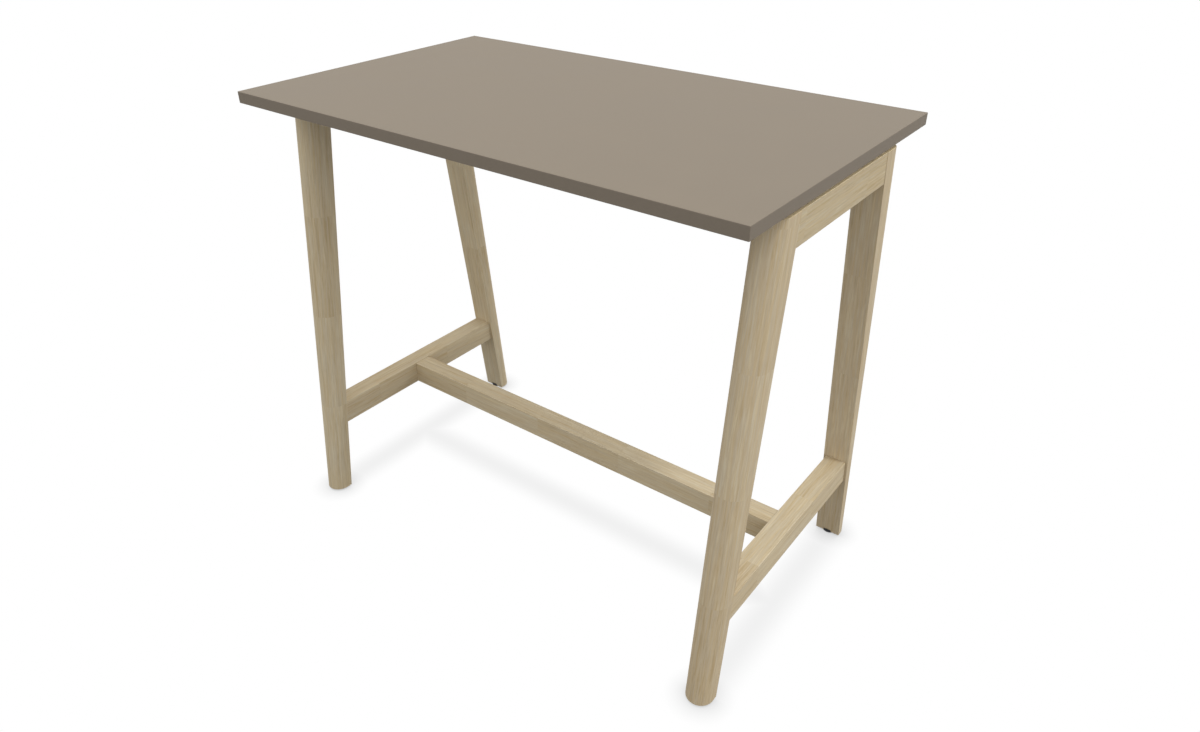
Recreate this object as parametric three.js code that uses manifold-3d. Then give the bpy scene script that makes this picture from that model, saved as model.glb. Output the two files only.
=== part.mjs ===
// Standing meeting table: a laminated board on two solid-wood trestles, which are tied together
// near the floor by one long stretcher that also serves as a foot rest.
// Millimetres, +Z up. The origin is on the floor under the middle of the table: +X runs along the
// table to the right-hand trestle, and -Y faces the front.

import * as THREE from 'three';
import { RoundedBoxGeometry } from 'three/addons/geometries/RoundedBoxGeometry.js';
import { mergeVertices } from 'three/addons/utils/BufferGeometryUtils.js';
import Module from 'manifold-3d';

// Whole table
const TABLE_LENGTH = 1200;
const TABLE_DEPTH = 705;
const TABLE_HEIGHT = 1050;

// Board, and the edge bands with their softened outer edges
const BOARD_THICKNESS = 24;
const BAND_THICKNESS = 3;
const BAND_ROUNDING = 1.2;
const SHADOW_GAP = 9.5;

// Legs: flat inside, half-round outside, splayed and tapering to the foot.
// The inner figures are half the clear width between the two legs of a trestle.
const LEG_CENTRE_X = 566.5;
const LEG_WIDTH = 60;
const LEG_FOOT_Z = 5;
const LEG_INNER_AT_FOOT = 299;
const LEG_INNER_AT_TOP = 175;
const LEG_DEPTH_AT_FOOT = 44;
const LEG_DEPTH_AT_TOP = 64;
const LEG_ARRIS = 0.7;

// Rails and stretcher. The setbacks are from the legs' outer faces to the rails'.
const TOP_RAIL_WIDTH = 58.5;
const TOP_RAIL_HEIGHT = 62.5;
const TOP_RAIL_SETBACK = 0.75;
const LOWER_RAIL_WIDTH = 48;
const LOWER_RAIL_HEIGHT = 59;
const LOWER_RAIL_SETBACK = 5.25;
const LOWER_RAIL_TOP_Z = 251;
const STRETCHER_WIDTH = 48;
const STRETCHER_HEIGHT = 57;
const BAR_ARRIS = 1;
const JOINT_GAP = 0.3;

// Dowels
const DOWEL_RADIUS = 5;
const DOWEL_LENGTH = 40;
const DOWEL_CHAMFER = 1;
const TOP_DOWEL_PITCH = 34;
const LOWER_DOWEL_PITCH = 30;
const STRETCHER_DOWEL_PITCH = 26;
const STRETCHER_DOWEL_RISE = 36;
const DRILL_DEPTH_SPARE = 1;

// Cam lock in the underside of the stretcher, and the bolt that it draws
const CAM_RADIUS = 7.5;
const CAM_HEIGHT = 13.5;
const CAM_FROM_END = 24;
const CAM_BOLT_RISE = 9;
const CAM_CHANNEL = 8.2;
const CAM_SLOT_WIDTH = 2;
const CAM_SLOT_LENGTH = 11;
const CAM_SLOT_DEPTH = 2.5;
const BOLT_THREAD_RADIUS = 3.2;
const BOLT_THREAD_LENGTH = 20;
const BOLT_NECK_RADIUS = 2.5;
const BOLT_HEAD_RADIUS = 3.5;
const BOLT_HEAD_LENGTH = 4;
const BOLT_PAST_CAM_CENTRE = 2;

// Spacers in the shadow gap, and the screws up through them into the board
const SPACER_RADIUS = 18;
const SPACER_CHAMFER = 1;
const SCREW_PITCH = 220;
const SCREW_RADIUS = 3;
const SCREW_INTO_BOARD = 17;
const SCREW_HEAD_RADIUS = 6;
const SCREW_HEAD_HEIGHT = 5;
const SCREW_SOCKET_RADIUS = 2.9;
const SCREW_SOCKET_DEPTH = 3;
const COUNTERBORE_RADIUS = 8;
const COUNTERBORE_DEPTH = 30;

// Levelling feet. Each glide sits in a recess in the leg's end, which breaks out of the leg's flat face.
const RECESS_DEPTH = 5.9;
const INSERT_RADIUS = 6;
const INSERT_LENGTH = 20;
const INSERT_FLANGE_RADIUS = 8.5;
const INSERT_FLANGE_THICKNESS = 1.5;
const STUD_RADIUS = 4;
const STUD_LENGTH = 40;
const STUD_CHAMFER = 0.8;
const GLIDE_RADIUS = 17;
const GLIDE_RIM = 0.6;
const SOLE_RADIUS = 13.5;
const SOLE_HEIGHT = 3.2;
const SOLE_CHAMFER = 1.5;
const GLIDE_FLOOR = 1.7;

// Fineness of the round stretches
const BAND_ROUND_STEPS = 3;
const ARRIS_STEPS = 3;
const LEG_ROUND_STEPS = 24;
const DRILL_STEPS = 16;
const TURNED_STEPS = 16;
const FOOT_STEPS = 24;
const RECESS_STEPS = 48;
const HEXAGON = 6;

// Worked out from the sizes above
const BOARD_UNDERSIDE_Z = TABLE_HEIGHT - BOARD_THICKNESS;
const LEG_TOP_Z = BOARD_UNDERSIDE_Z - SHADOW_GAP;
const LOWER_RAIL_MIDDLE_Z = LOWER_RAIL_TOP_Z - LOWER_RAIL_HEIGHT / 2;
const STRETCHER_UNDERSIDE_Z = LOWER_RAIL_MIDDLE_Z - STRETCHER_HEIGHT / 2;
const TOP_RAIL_X = (LEG_WIDTH - TOP_RAIL_WIDTH) / 2 - TOP_RAIL_SETBACK;
const LOWER_RAIL_X = (LEG_WIDTH - LOWER_RAIL_WIDTH) / 2 - LOWER_RAIL_SETBACK;
const LOWER_RAIL_FACE = LOWER_RAIL_WIDTH / 2 - LOWER_RAIL_X;
const FOOT_Y = LEG_INNER_AT_FOOT + LEG_DEPTH_AT_FOOT - LEG_WIDTH / 2;
const RECESS_Z = LEG_FOOT_Z + RECESS_DEPTH;

const QUARTER = Math.PI / 2;

const ASH = { color: 0xb8a684, roughness: 0.6, metalness: 0 };
const TAUPE_LAMINATE = { color: 0x9d9384, roughness: 0.55, metalness: 0 };
const TAUPE_BAND = { color: 0x978d7e, roughness: 0.5, metalness: 0 };
const BEECH = { color: 0xc9a77c, roughness: 0.7, metalness: 0 };
const BLACK_PLASTIC = { color: 0x1a1a1b, roughness: 0.5, metalness: 0 };
const ZINC = { color: 0xb4b6b8, roughness: 0.35, metalness: 1 };

const wasm = await Module();
wasm.setup();

// Makes a closed geometry into a solid that can be cut and joined.
function solid(geometry) {
  const bare = geometry.clone();
  bare.deleteAttribute('normal');
  bare.deleteAttribute('uv');
  const merged = mergeVertices(bare);
  return new wasm.Manifold(new wasm.Mesh({
    numProp: 3,
    vertProperties: new Float32Array(merged.attributes.position.array),
    triVerts: new Uint32Array(merged.index.array),
  }));
}

// Makes a solid back into a geometry.
function surface(body) {
  const { vertProperties, triVerts } = body.getMesh();
  const geometry = new THREE.BufferGeometry();
  geometry.setAttribute('position', new THREE.BufferAttribute(vertProperties, 3));
  geometry.setIndex(new THREE.BufferAttribute(triVerts, 1));
  geometry.computeVertexNormals();
  return geometry;
}

function cut(geometry, tools) {
  const subtract = (body, tool) => body.subtract(solid(tool));
  return surface(tools.reduce(subtract, solid(geometry)));
}

function piece(name, geometry, finish) {
  const mesh = new THREE.Mesh(geometry, new THREE.MeshStandardMaterial(finish));
  mesh.name = name;
  return mesh;
}

function arc(x, y, radius, start, end, steps) {
  const points = [];
  for (let i = 0; i <= steps; i++) {
    const angle = THREE.MathUtils.lerp(start, end, i / steps);
    points.push(new THREE.Vector2(x + radius * Math.cos(angle), y + radius * Math.sin(angle)));
  }
  return points;
}

// Drill bits and plain rods, centred on the origin.
function rodAlongY(radius, length) {
  return new THREE.CylinderGeometry(radius, radius, length, DRILL_STEPS);
}

function rodAlongX(radius, length) {
  return rodAlongY(radius, length).rotateZ(QUARTER);
}

// Drill bit along Z that starts at z = from and ends at z = to.
function rodAlongZ(radius, from, to) {
  return rodAlongY(radius, to - from).rotateX(QUARTER).translate(0, 0, (from + to) / 2);
}

// Turned piece about Z from [radius, height] pairs that run up its outside.
function turned(profile, steps) {
  const points = profile.map(([radius, height]) => new THREE.Vector2(radius, height));
  return new THREE.LatheGeometry(points, steps).rotateX(QUARTER);
}

// Ring about Z, turned from a profile that closes on itself.
function ring(bore, profile, steps) {
  const [, bottom] = profile[0];
  const [, top] = profile[profile.length - 1];
  return turned([[bore, bottom], ...profile, [bore, top], [bore, bottom]], steps);
}

// The board's outline with rounded edges all round, which the edge bands are slices of.
function roundedBoard() {
  const size = [TABLE_LENGTH, TABLE_DEPTH, BOARD_THICKNESS];
  return new RoundedBoxGeometry(...size, BAND_ROUND_STEPS, BAND_ROUNDING);
}

// The long bands run past the ends of the short ones, so that the corners' rounding is theirs.
function edgeBands() {
  const group = new THREE.Group();
  const whole = solid(roundedBoard());
  const coreDepth = TABLE_DEPTH - 2 * BAND_THICKNESS;
  const longX = (TABLE_LENGTH - BAND_THICKNESS) / 2;
  const longY = (TABLE_DEPTH - BAND_THICKNESS) / 2;
  const slices = [
    ['edge_band_front', TABLE_LENGTH, BAND_THICKNESS, 0, -longY],
    ['edge_band_back', TABLE_LENGTH, BAND_THICKNESS, 0, longY],
    ['edge_band_left', BAND_THICKNESS, coreDepth, -longX, 0],
    ['edge_band_right', BAND_THICKNESS, coreDepth, longX, 0],
  ];
  for (const [name, length, depth, x, y] of slices) {
    const slice = new THREE.BoxGeometry(length, depth, BOARD_THICKNESS).translate(x, y, 0);
    group.add(piece(name, surface(whole.intersect(solid(slice))), TAUPE_BAND));
  }
  group.position.z = TABLE_HEIGHT - BOARD_THICKNESS / 2;
  return group;
}

// Core of the board, with the blind holes for the screws in its underside.
function boardCore() {
  const length = TABLE_LENGTH - 2 * BAND_THICKNESS;
  const depth = TABLE_DEPTH - 2 * BAND_THICKNESS;
  const core = new THREE.BoxGeometry(length, depth, BOARD_THICKNESS);
  core.translate(0, 0, TABLE_HEIGHT - BOARD_THICKNESS / 2);
  const holes = [];
  for (const x of [-LEG_CENTRE_X, LEG_CENTRE_X]) {
    for (const y of [-SCREW_PITCH / 2, SCREW_PITCH / 2]) {
      const below = BOARD_UNDERSIDE_Z - DRILL_DEPTH_SPARE;
      const above = BOARD_UNDERSIDE_Z + SCREW_INTO_BOARD + DRILL_DEPTH_SPARE;
      holes.push(rodAlongZ(SCREW_RADIUS + JOINT_GAP, below, above).translate(x, y, 0));
    }
  }
  return cut(core, holes);
}

// Distance of a leg's flat inner face from the middle of the table, at a height.
function innerFaceY(z) {
  return THREE.MathUtils.mapLinear(z, LEG_FOOT_Z, LEG_TOP_Z, LEG_INNER_AT_FOOT, LEG_INNER_AT_TOP);
}

function legDepth(z) {
  return THREE.MathUtils.mapLinear(z, LEG_FOOT_Z, LEG_TOP_Z, LEG_DEPTH_AT_FOOT, LEG_DEPTH_AT_TOP);
}

// Level section of the leg at a height: two softened inner corners and a full half-round outside.
function legOutline(z) {
  const half = LEG_WIDTH / 2;
  const inner = innerFaceY(z);
  const cornerX = half - LEG_ARRIS;
  const cornerY = inner + LEG_ARRIS;
  const roundY = inner + legDepth(z) - half;
  return [
    ...arc(-cornerX, cornerY, LEG_ARRIS, 2 * QUARTER, 3 * QUARTER, ARRIS_STEPS),
    ...arc(cornerX, cornerY, LEG_ARRIS, 3 * QUARTER, 4 * QUARTER, ARRIS_STEPS),
    ...arc(0, roundY, half, 0, 2 * QUARTER, LEG_ROUND_STEPS),
  ];
}

// Closed solid between two level outlines that have matching points.
function loft(lower, lowerZ, upper, upperZ) {
  const count = lower.length;
  const positions = [];
  for (const point of lower) {
    positions.push(point.x, point.y, lowerZ);
  }
  for (const point of upper) {
    positions.push(point.x, point.y, upperZ);
  }
  const index = [];
  for (let i = 0; i < count; i++) {
    const next = (i + 1) % count;
    index.push(i, next, count + next);
    index.push(i, count + next, count + i);
  }
  for (const [a, b, c] of THREE.ShapeUtils.triangulateShape(lower, [])) {
    index.push(a, c, b);
  }
  for (const [a, b, c] of THREE.ShapeUtils.triangulateShape(upper, [])) {
    index.push(count + a, count + b, count + c);
  }
  const geometry = new THREE.BufferGeometry();
  geometry.setAttribute('position', new THREE.Float32BufferAttribute(positions, 3));
  geometry.setIndex(index);
  return geometry;
}

// Heights of the two dowels in a rail's end.
function dowelHeights(middleZ, pitch) {
  return { lower: middleZ - pitch / 2, upper: middleZ + pitch / 2 };
}

const TOP_DOWEL_HEIGHTS = dowelHeights(LEG_TOP_Z - TOP_RAIL_HEIGHT / 2, TOP_DOWEL_PITCH);
const LOWER_DOWEL_HEIGHTS = dowelHeights(LOWER_RAIL_MIDDLE_Z, LOWER_DOWEL_PITCH);

// Drill for a rail's dowel, through the joint at the back leg (end = 1) or the front leg (end = -1).
function dowelHole(z, end) {
  const bit = rodAlongY(DOWEL_RADIUS + JOINT_GAP, DOWEL_LENGTH + 2 * DRILL_DEPTH_SPARE);
  return bit.translate(0, end * innerFaceY(z), z);
}

// Back leg on x = 0, drilled for its dowels and, from below, for the levelling foot.
function leg() {
  const blank = loft(legOutline(LEG_FOOT_Z), LEG_FOOT_Z, legOutline(LEG_TOP_Z), LEG_TOP_Z);
  const heights = [...Object.values(TOP_DOWEL_HEIGHTS), ...Object.values(LOWER_DOWEL_HEIGHTS)];
  const holes = heights.map((z) => dowelHole(z, 1));
  const below = LEG_FOOT_Z - DRILL_DEPTH_SPARE;
  const flangeTop = RECESS_Z + INSERT_FLANGE_THICKNESS + JOINT_GAP;
  const insertTop = RECESS_Z + INSERT_LENGTH + JOINT_GAP;
  const studTop = GLIDE_FLOOR + STUD_LENGTH + 2 * DRILL_DEPTH_SPARE;
  const recess = new THREE.CylinderGeometry(
    GLIDE_RADIUS + JOINT_GAP, GLIDE_RADIUS + JOINT_GAP, RECESS_Z - below, RECESS_STEPS,
  );
  holes.push(recess.rotateX(QUARTER).translate(0, FOOT_Y, (below + RECESS_Z) / 2));
  holes.push(rodAlongZ(INSERT_FLANGE_RADIUS + JOINT_GAP, below, flangeTop).translate(0, FOOT_Y, 0));
  holes.push(rodAlongZ(INSERT_RADIUS + JOINT_GAP, below, insertTop).translate(0, FOOT_Y, 0));
  holes.push(rodAlongZ(STUD_RADIUS + DRILL_DEPTH_SPARE, below, studTop).translate(0, FOOT_Y, 0));
  return cut(blank, holes);
}

// Bar along Y with softened long edges, centred on x = 0 and standing on z = 0.
function bar(width, height, length) {
  const x = width / 2 - BAR_ARRIS;
  const low = BAR_ARRIS;
  const high = height - BAR_ARRIS;
  const section = new THREE.Shape([
    ...arc(x, low, BAR_ARRIS, -QUARTER, 0, ARRIS_STEPS),
    ...arc(x, high, BAR_ARRIS, 0, QUARTER, ARRIS_STEPS),
    ...arc(-x, high, BAR_ARRIS, QUARTER, 2 * QUARTER, ARRIS_STEPS),
    ...arc(-x, low, BAR_ARRIS, 2 * QUARTER, 3 * QUARTER, ARRIS_STEPS),
  ]);
  const blank = new THREE.ExtrudeGeometry(section, { depth: length, bevelEnabled: false });
  return blank.rotateX(QUARTER).translate(0, length / 2, 0);
}

// Bar across a trestle at x, with both ends trimmed to the slant of the legs' inner faces.
function railBlank(width, height, x, topZ) {
  const blank = bar(width, height, 2 * LEG_INNER_AT_FOOT).translate(x, 0, topZ - height);
  const points = blank.attributes.position;
  for (let i = 0; i < points.count; i++) {
    const reach = innerFaceY(points.getZ(i)) - JOINT_GAP;
    points.setY(i, Math.sign(points.getY(i)) * reach);
  }
  return blank;
}

function railDowelHoles(heights) {
  return Object.values(heights).flatMap((z) => [dowelHole(z, -1), dowelHole(z, 1)]);
}

// Top rail: each screw has a clearance hole and a deep counterbore in the underside.
function topRail() {
  const holes = railDowelHoles(TOP_DOWEL_HEIGHTS);
  const underside = LEG_TOP_Z - TOP_RAIL_HEIGHT;
  const below = underside - DRILL_DEPTH_SPARE;
  const above = LEG_TOP_Z + DRILL_DEPTH_SPARE;
  for (const y of [-SCREW_PITCH / 2, SCREW_PITCH / 2]) {
    holes.push(rodAlongZ(SCREW_RADIUS + JOINT_GAP, below, above).translate(0, y, 0));
    holes.push(rodAlongZ(COUNTERBORE_RADIUS, below, underside + COUNTERBORE_DEPTH).translate(0, y, 0));
  }
  return cut(railBlank(TOP_RAIL_WIDTH, TOP_RAIL_HEIGHT, TOP_RAIL_X, LEG_TOP_Z), holes);
}

const STRETCHER_DOWEL_Z = STRETCHER_UNDERSIDE_Z + STRETCHER_DOWEL_RISE;
const CAM_BOLT_Z = STRETCHER_UNDERSIDE_Z + CAM_BOLT_RISE;

// Drills along X for the stretcher's dowels, through the joint at x.
function stretcherDowelHoles(x) {
  const length = DOWEL_LENGTH + 2 * DRILL_DEPTH_SPARE;
  const rows = [-STRETCHER_DOWEL_PITCH / 2, STRETCHER_DOWEL_PITCH / 2];
  return rows.map((y) => rodAlongX(DOWEL_RADIUS + JOINT_GAP, length).translate(x, y, STRETCHER_DOWEL_Z));
}

// Lower rail: its face towards the stretcher, at x = -LOWER_RAIL_FACE, takes two dowels and the cam's bolt.
function lowerRail() {
  const boltHole = rodAlongX(BOLT_THREAD_RADIUS + JOINT_GAP, 2 * (BOLT_THREAD_LENGTH + DRILL_DEPTH_SPARE));
  const holes = [
    ...railDowelHoles(LOWER_DOWEL_HEIGHTS),
    ...stretcherDowelHoles(-LOWER_RAIL_FACE),
    boltHole.translate(-LOWER_RAIL_FACE, 0, CAM_BOLT_Z),
  ];
  const blank = railBlank(LOWER_RAIL_WIDTH, LOWER_RAIL_HEIGHT, LOWER_RAIL_X, LOWER_RAIL_TOP_Z);
  return cut(blank, holes);
}

// Stretcher along X: two dowel holes and a bolt hole in each end, and a cam hole in the underside.
function stretcher() {
  const reach = LEG_CENTRE_X - LOWER_RAIL_FACE;
  const blank = bar(STRETCHER_WIDTH, STRETCHER_HEIGHT, 2 * (reach - JOINT_GAP)).rotateZ(QUARTER);
  blank.translate(0, 0, STRETCHER_UNDERSIDE_Z);
  const below = STRETCHER_UNDERSIDE_Z - DRILL_DEPTH_SPARE;
  const camTop = STRETCHER_UNDERSIDE_Z + CAM_HEIGHT + DRILL_DEPTH_SPARE;
  const holes = [];
  for (const side of [-1, 1]) {
    const boltHole = rodAlongX(BOLT_HEAD_RADIUS + JOINT_GAP, 2 * CAM_FROM_END);
    const camHole = rodAlongZ(CAM_RADIUS + JOINT_GAP, below, camTop);
    holes.push(...stretcherDowelHoles(side * reach));
    holes.push(boltHole.translate(side * reach, 0, CAM_BOLT_Z));
    holes.push(camHole.translate(side * (reach - CAM_FROM_END), 0, 0));
  }
  return cut(blank, holes);
}

// Dowel along Z with chamfered ends, centred on the origin.
function dowel() {
  const half = DOWEL_LENGTH / 2;
  const tip = DOWEL_RADIUS - DOWEL_CHAMFER;
  const shoulder = half - DOWEL_CHAMFER;
  const outside = [[0, -half], [tip, -half], [DOWEL_RADIUS, -shoulder]];
  return turned([...outside, [DOWEL_RADIUS, shoulder], [tip, half], [0, half]], DRILL_STEPS);
}

// Cam disc standing on z = 0, open towards +X for the bolt's head, with a cross slot underneath.
function camLock() {
  const disc = rodAlongZ(CAM_RADIUS, 0, CAM_HEIGHT);
  const channelLow = CAM_BOLT_RISE - CAM_CHANNEL / 2;
  const channelHeight = CAM_HEIGHT - channelLow + DRILL_DEPTH_SPARE;
  const channelBack = -CAM_CHANNEL / 2;
  const channel = new THREE.BoxGeometry(2 * CAM_RADIUS, CAM_CHANNEL, channelHeight);
  channel.translate(channelBack + CAM_RADIUS, 0, channelLow + channelHeight / 2);
  const slotX = new THREE.BoxGeometry(CAM_SLOT_LENGTH, CAM_SLOT_WIDTH, 2 * CAM_SLOT_DEPTH);
  const slotY = new THREE.BoxGeometry(CAM_SLOT_WIDTH, CAM_SLOT_LENGTH, 2 * CAM_SLOT_DEPTH);
  return cut(disc, [channel, slotX, slotY]);
}

// Cam bolt along X: the thread lies on the +X side of the joint, the neck and head on the other.
function camBolt() {
  const neckEnd = -(CAM_FROM_END + BOLT_PAST_CAM_CENTRE);
  const headStart = neckEnd + BOLT_HEAD_LENGTH;
  const profile = [
    [0, neckEnd],
    [BOLT_HEAD_RADIUS, neckEnd],
    [BOLT_HEAD_RADIUS, headStart],
    [BOLT_NECK_RADIUS, headStart],
    [BOLT_NECK_RADIUS, 0],
    [BOLT_THREAD_RADIUS, 0],
    [BOLT_THREAD_RADIUS, BOLT_THREAD_LENGTH],
    [0, BOLT_THREAD_LENGTH],
  ];
  return turned(profile, DRILL_STEPS).rotateY(QUARTER);
}

// Spacer disc that stands on the rail and holds the board up by the shadow gap.
function spacer() {
  const face = SPACER_RADIUS - SPACER_CHAMFER;
  const shoulder = SHADOW_GAP - SPACER_CHAMFER;
  const outside = [[face, 0], [SPACER_RADIUS, SPACER_CHAMFER], [SPACER_RADIUS, shoulder], [face, SHADOW_GAP]];
  return ring(SCREW_RADIUS + JOINT_GAP, outside, FOOT_STEPS).translate(0, 0, LEG_TOP_Z);
}

// Board screw pointing up: its head, with a hexagon socket, bears on the end of the counterbore.
function boardScrew() {
  const bearing = LEG_TOP_Z - TOP_RAIL_HEIGHT + COUNTERBORE_DEPTH - JOINT_GAP;
  const headFace = bearing - SCREW_HEAD_HEIGHT;
  const tip = BOARD_UNDERSIDE_Z + SCREW_INTO_BOARD;
  const head = rodAlongZ(SCREW_HEAD_RADIUS, headFace, bearing);
  const shank = rodAlongZ(SCREW_RADIUS, bearing - DRILL_DEPTH_SPARE, tip);
  const socket = new THREE.CylinderGeometry(
    SCREW_SOCKET_RADIUS, SCREW_SOCKET_RADIUS, 2 * SCREW_SOCKET_DEPTH, HEXAGON,
  );
  socket.rotateX(QUARTER).translate(0, 0, headFace);
  return surface(solid(head).add(solid(shank)).subtract(solid(socket)));
}

// Threaded insert, its flange let in flush with the end of the recess.
function footInsert() {
  const outside = [
    [INSERT_FLANGE_RADIUS, 0],
    [INSERT_FLANGE_RADIUS, INSERT_FLANGE_THICKNESS],
    [INSERT_RADIUS, INSERT_FLANGE_THICKNESS],
    [INSERT_RADIUS, INSERT_LENGTH],
  ];
  return ring(STUD_RADIUS + JOINT_GAP, outside, TURNED_STEPS).translate(0, 0, RECESS_Z);
}

// Stud, whose lower end turns in the glide's socket.
function footStud() {
  const bottom = GLIDE_FLOOR + JOINT_GAP;
  const top = GLIDE_FLOOR + STUD_LENGTH;
  const tip = STUD_RADIUS - STUD_CHAMFER;
  const profile = [
    [0, bottom],
    [tip, bottom],
    [STUD_RADIUS, bottom + STUD_CHAMFER],
    [STUD_RADIUS, top - STUD_CHAMFER],
    [tip, top],
    [0, top],
  ];
  return turned(profile, TURNED_STEPS);
}

// Glide: a narrower sole under the body in the recess, and a socket in its top for the stud.
function footGlide() {
  const top = RECESS_Z - JOINT_GAP;
  const socket = STUD_RADIUS + JOINT_GAP;
  const profile = [
    [0, 0],
    [SOLE_RADIUS - SOLE_CHAMFER, 0],
    [SOLE_RADIUS, SOLE_CHAMFER],
    [SOLE_RADIUS, SOLE_HEIGHT],
    [GLIDE_RADIUS - GLIDE_RIM, SOLE_HEIGHT],
    [GLIDE_RADIUS, SOLE_HEIGHT + GLIDE_RIM],
    [GLIDE_RADIUS, top - GLIDE_RIM],
    [GLIDE_RADIUS - GLIDE_RIM, top],
    [socket, top],
    [socket, GLIDE_FLOOR],
    [0, GLIDE_FLOOR],
  ];
  return turned(profile, RECESS_STEPS);
}

// Two dowels that join a rail to the leg at one end of a trestle.
function railDowels(name, heights, end) {
  return Object.entries(heights).map(([level, z]) => {
    const mesh = piece(`${name}_${level}`, dowel().rotateX(QUARTER), BEECH);
    mesh.position.set(0, end * innerFaceY(z), z);
    return mesh;
  });
}

// One leg with its foot, dowels, spacer and screw, at the +Y (end = 1) or -Y end of a trestle.
function cornerPieces(corner, end) {
  const group = new THREE.Group();
  const legMesh = piece(`leg_${corner}`, leg(), ASH);
  legMesh.rotation.z = end < 0 ? Math.PI : 0;
  const foot = new THREE.Group();
  foot.add(piece(`foot_insert_${corner}`, footInsert(), ZINC));
  foot.add(piece(`foot_stud_${corner}`, footStud(), ZINC));
  foot.add(piece(`foot_glide_${corner}`, footGlide(), BLACK_PLASTIC));
  foot.position.y = end * FOOT_Y;
  const fixing = new THREE.Group();
  fixing.add(piece(`spacer_${corner}`, spacer(), BLACK_PLASTIC));
  fixing.add(piece(`board_screw_${corner}`, boardScrew(), ZINC));
  fixing.position.y = end * SCREW_PITCH / 2;
  group.add(legMesh, foot, fixing);
  group.add(...railDowels(`dowel_top_rail_${corner}`, TOP_DOWEL_HEIGHTS, end));
  group.add(...railDowels(`dowel_lower_rail_${corner}`, LOWER_DOWEL_HEIGHTS, end));
  return group;
}

// What joins the stretcher to the lower rail of one trestle.
function stretcherJoint(sideName, side) {
  const group = new THREE.Group();
  for (const row of [-1, 1]) {
    const place = row * side < 0 ? 'front' : 'back';
    const mesh = piece(`dowel_stretcher_${place}_${sideName}`, dowel().rotateY(QUARTER), BEECH);
    mesh.position.set(0, row * STRETCHER_DOWEL_PITCH / 2, STRETCHER_DOWEL_Z);
    group.add(mesh);
  }
  const cam = piece(`cam_lock_${sideName}`, camLock(), ZINC);
  cam.position.set(-CAM_FROM_END, 0, STRETCHER_UNDERSIDE_Z);
  const bolt = piece(`cam_bolt_${sideName}`, camBolt(), ZINC);
  bolt.position.z = CAM_BOLT_Z;
  group.add(cam, bolt);
  group.position.x = -LOWER_RAIL_FACE;
  return group;
}

// Trestle with its outer face towards local +X: the left one is the right one turned half round.
function trestle(side) {
  const sideName = side < 0 ? 'left' : 'right';
  const group = new THREE.Group();
  group.add(piece(`top_rail_${sideName}`, topRail(), ASH));
  group.add(piece(`lower_rail_${sideName}`, lowerRail(), ASH));
  for (const end of [-1, 1]) {
    const place = end * side < 0 ? 'front' : 'back';
    group.add(cornerPieces(`${place}_${sideName}`, end));
  }
  group.add(stretcherJoint(sideName, side));
  group.position.x = side * LEG_CENTRE_X;
  group.rotation.z = side < 0 ? Math.PI : 0;
  return group;
}

const table = new THREE.Group();
table.add(piece('tabletop_core', boardCore(), TAUPE_LAMINATE));
table.add(edgeBands());
table.add(trestle(-1));
table.add(trestle(1));
table.add(piece('stretcher', stretcher(), ASH));

export default table;
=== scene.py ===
# Standing meeting table: a taupe board on two ash trestles, which one long stretcher ties together.
# Metres, +Z up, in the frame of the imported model: +X runs to the right-hand trestle, -Y faces the front.

import math

import bmesh
import bpy
from mathutils import Matrix, Vector


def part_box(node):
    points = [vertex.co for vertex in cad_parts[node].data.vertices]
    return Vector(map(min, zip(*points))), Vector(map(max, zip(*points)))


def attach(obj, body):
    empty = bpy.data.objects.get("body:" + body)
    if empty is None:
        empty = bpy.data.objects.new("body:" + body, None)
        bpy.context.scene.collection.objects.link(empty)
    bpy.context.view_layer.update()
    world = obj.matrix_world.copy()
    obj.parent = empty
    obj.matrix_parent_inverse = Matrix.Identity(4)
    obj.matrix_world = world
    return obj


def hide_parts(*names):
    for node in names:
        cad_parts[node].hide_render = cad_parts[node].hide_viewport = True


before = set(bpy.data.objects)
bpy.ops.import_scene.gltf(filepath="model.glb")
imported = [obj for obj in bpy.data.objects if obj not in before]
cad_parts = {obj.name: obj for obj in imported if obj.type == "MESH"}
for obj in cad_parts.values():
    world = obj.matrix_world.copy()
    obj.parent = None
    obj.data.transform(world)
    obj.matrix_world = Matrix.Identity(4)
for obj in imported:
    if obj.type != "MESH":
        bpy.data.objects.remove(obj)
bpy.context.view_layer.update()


# Legs
# Four legs of solid ash, glued up end to end from short staves. Each is flat inside and half-round
# outside, leans outwards and tapers to its foot. It is drilled for the dowels of two rails, and its end
# is recessed for a glide, which shows through the flat face, and bored for the glide's threaded insert.

SIDES = {"left": -1, "right": 1}
PLACES = {"front": -1, "back": 1}
CORNERS = [(place, side) for side in SIDES for place in PLACES]

LEG_DEPTH_AT_FOOT = 0.044
LEG_DEPTH_AT_HEAD = 0.064
LEG_ARRIS = 0.0007
LEG_END_ROUNDING = 0.0005
LEG_ROUND_STEPS = 48
ARRIS_STEPS = 4
END_ROUND_STEPS = 2
RECESS_STEPS = 48
DRILL_STEPS = 32
DRILL_CLEARANCE = 0.0003
DRILL_SPARE = 0.001
DOWEL_HOLE_DEPTH = 0.021
INSERT_RADIUS = 0.006
INSERT_FLANGE = 0.0015

leg_low, leg_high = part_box("leg_back_right")
LEG_WIDTH = leg_high.x - leg_low.x
LEG_X = (leg_low.x + leg_high.x) / 2
FOOT_Z, HEAD_Z = leg_low.z, leg_high.z
FOOT_OUTER, HEAD_INNER = leg_high.y, leg_low.y
FOOT_INNER = FOOT_OUTER - LEG_DEPTH_AT_FOOT
HEAD_OUTER = HEAD_INNER + LEG_DEPTH_AT_HEAD
FOOT_Y = FOOT_OUTER - LEG_WIDTH / 2


def inner_face(z):
    """Distance of the legs' flat inner faces from the middle of the table, at a height."""
    return FOOT_INNER + (HEAD_INNER - FOOT_INNER) * (z - FOOT_Z) / (HEAD_Z - FOOT_Z)


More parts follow.
